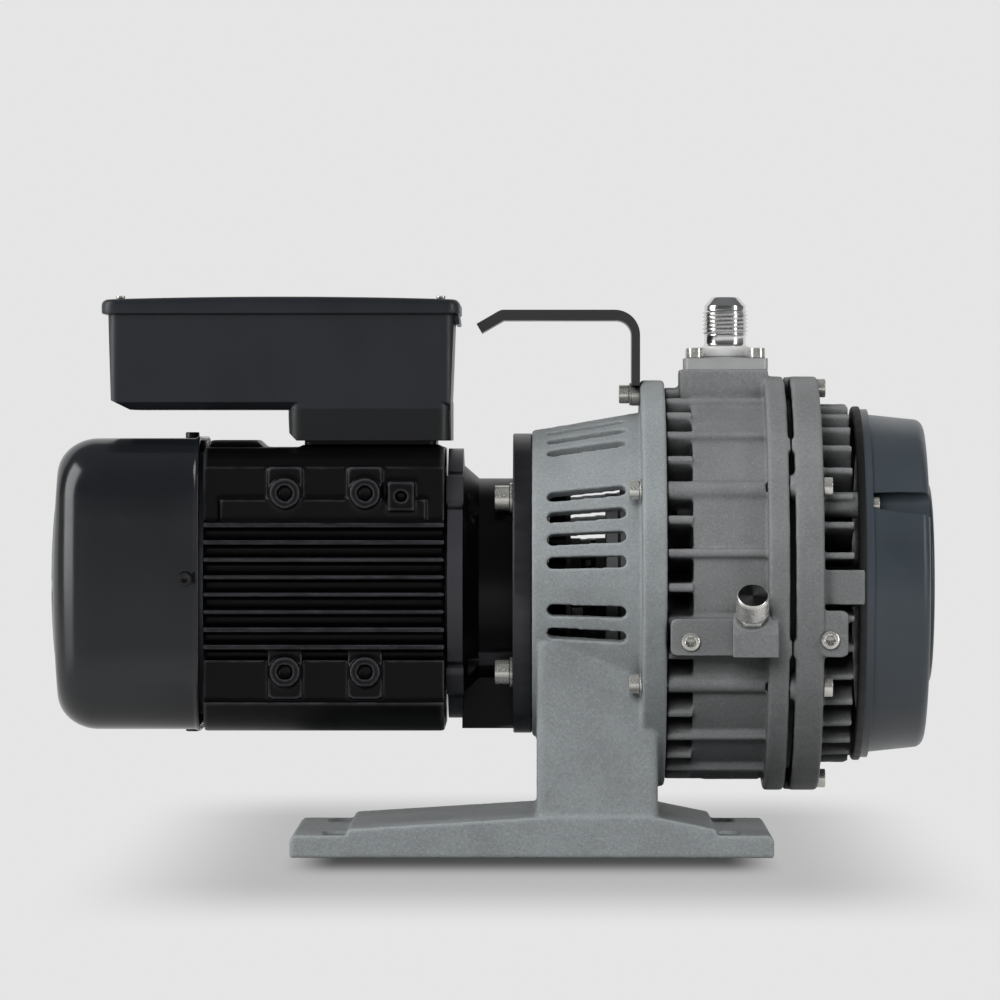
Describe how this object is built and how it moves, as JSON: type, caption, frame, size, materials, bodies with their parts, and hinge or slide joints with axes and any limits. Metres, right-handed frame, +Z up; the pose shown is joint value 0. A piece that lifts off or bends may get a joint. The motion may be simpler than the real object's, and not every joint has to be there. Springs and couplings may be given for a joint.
{
  "type": "scroll vacuum pump",
  "caption": "Dry scroll vacuum pump with a ribbed round pump head, a shaft-driven cooling fan, a bell bracket on a foot, a flange motor with a capacitor box, and a vertical flared inlet",
  "frame": {"origin": "centre of the underside of the foot, on the vertical plane through the shaft axis", "axes": "+X along the shaft from the motor towards the fan cover, +Y away from the side with the ballast knob, +Z up"},
  "size_m": [0.4683, 0.2757, 0.2948],
  "materials": {
    "bracket_paint": "rough sand casting under a satin blue-grey paint",
    "housing_casting": "cast aluminium under a satin warm grey paint",
    "cover_paint": "smooth satin slate-grey paint",
    "motor_paint": "satin black paint on a ribbed casting",
    "cowl_paint": "glossy black enamel on pressed sheet",
    "box_paint": "satin black powder coat",
    "hook_coating": "charcoal coating on flat bar",
    "zinc_fasteners": "bright zinc plate",
    "black_screws": "black oxide",
    "bearing_steel": "ground steel",
    "scroll_aluminium": "machined aluminium",
    "machined_aluminium": "milled plate with blasted face",
    "stainless": "turned stainless steel",
    "knob_metal": "knurled nickel with a black spun top",
    "lamination_steel": "bare electrical steel",
    "copper_wire": "enamelled copper wire",
    "bronze": "bearing bronze",
    "rubber": "moulded rubber",
    "spider_rubber": "moulded polyurethane",
    "black_plastic": "moulded plastic",
    "tip_seal_plastic": "filled PTFE",
    "capacitor_can": "drawn can",
    "terminal_plastic": "moulded thermoset"
  },
  "bodies": {
    "pump_body": {"bell_bracket": "bracket_paint", "lifting_hook": "hook_coating", "hook_bush": "zinc_fasteners", "bracket_bolts": "zinc_fasteners", "rear_fixed_scroll": "housing_casting", "front_fixed_scroll": "housing_casting", "housing_seal": "rubber", "housing_bolts": "zinc_fasteners", "bearing_carrier": "housing_casting", "carrier_screws": "zinc_fasteners", "main_bearings": "bearing_steel", "shaft_seals": "rubber", "fixed_tip_seals": "tip_seal_plastic", "inlet_flange": "machined_aluminium", "inlet_bolts": "zinc_fasteners", "inlet_fitting": "stainless", "inlet_strainer": "stainless", "ballast_valve_body": "housing_casting", "plug_screws": "zinc_fasteners", "exhaust_block": "housing_casting", "exhaust_fitting": "stainless", "fan_cover": "cover_paint", "fan_guard": "cover_paint", "cover_screws": "zinc_fasteners", "drive_end_shield": "motor_paint", "motor_bolts": "zinc_fasteners", "motor_frame": "motor_paint", "stator_core": "lamination_steel", "stator_windings": "copper_wire", "rear_end_shield": "motor_paint", "motor_bearings": "bearing_steel", "fan_cowl": "cowl_paint", "cowl_screws": "black_screws", "capacitor_box": "box_paint", "box_lid": "box_paint", "lid_screws": "zinc_fasteners", "capacitors": "capacitor_can", "terminal_block": "terminal_plastic", "cable_gland": "black_plastic", "crank_pin_bearings": "bronze"},
    "drive_shaft": {"crankshaft": "bearing_steel", "counterweights": "lamination_steel", "front_fan": "black_plastic", "rear_cooling_fan": "black_plastic", "pump_coupling_hub": "black_plastic", "coupling_spider": "spider_rubber", "motor_coupling_hub": "black_plastic", "motor_shaft": "bearing_steel", "motor_rotor": "lamination_steel", "motor_fan": "black_plastic"},
    "orbiting_scroll": {"orbiting_scroll": "scroll_aluminium", "orbit_bearings": "bronze", "orbiting_tip_seals": "tip_seal_plastic"},
    "pin_crank_1": {"pin_crank_1": "bearing_steel"},
    "pin_crank_2": {"pin_crank_2": "bearing_steel"},
    "pin_crank_3": {"pin_crank_3": "bearing_steel"},
    "ballast_knob": {"ballast_knob": "knob_metal"}
  },
  "joints": [
    {"name": "shaft_spin", "type": "hinge", "parent": "pump_body", "child": "drive_shaft", "pos_m": [0.03, 0, 0.142], "axis": [1, 0, 0], "continuous": true},
    {"name": "scroll_orbit", "type": "hinge", "parent": "drive_shaft", "child": "orbiting_scroll", "pos_m": [0.11, 0, 0.146], "axis": [1, 0, 0], "continuous": true},
    {"name": "pin_crank_1_spin", "type": "hinge", "parent": "pump_body", "child": "pin_crank_1", "pos_m": [0.084, 0.07188, 0.1835], "axis": [1, 0, 0], "continuous": true},
    {"name": "pin_crank_2_spin", "type": "hinge", "parent": "pump_body", "child": "pin_crank_2", "pos_m": [0.084, -0.07188, 0.1835], "axis": [1, 0, 0], "continuous": true},
    {"name": "pin_crank_3_spin", "type": "hinge", "parent": "pump_body", "child": "pin_crank_3", "pos_m": [0.084, 0, 0.059], "axis": [1, 0, 0], "continuous": true},
    {"name": "ballast_turn", "type": "hinge", "parent": "pump_body", "child": "ballast_knob", "pos_m": [0.114, -0.1175, 0.1265], "axis": [0, -0.7071, 0.7071], "range_deg": [0, 270]}
  ],
  "couplings": [
    {"joint": "scroll_orbit", "follows": "shaft_spin", "ratio": -1},
    {"joint": "pin_crank_1_spin", "follows": "shaft_spin", "ratio": 1},
    {"joint": "pin_crank_2_spin", "follows": "shaft_spin", "ratio": 1},
    {"joint": "pin_crank_3_spin", "follows": "shaft_spin", "ratio": 1}
  ]
}
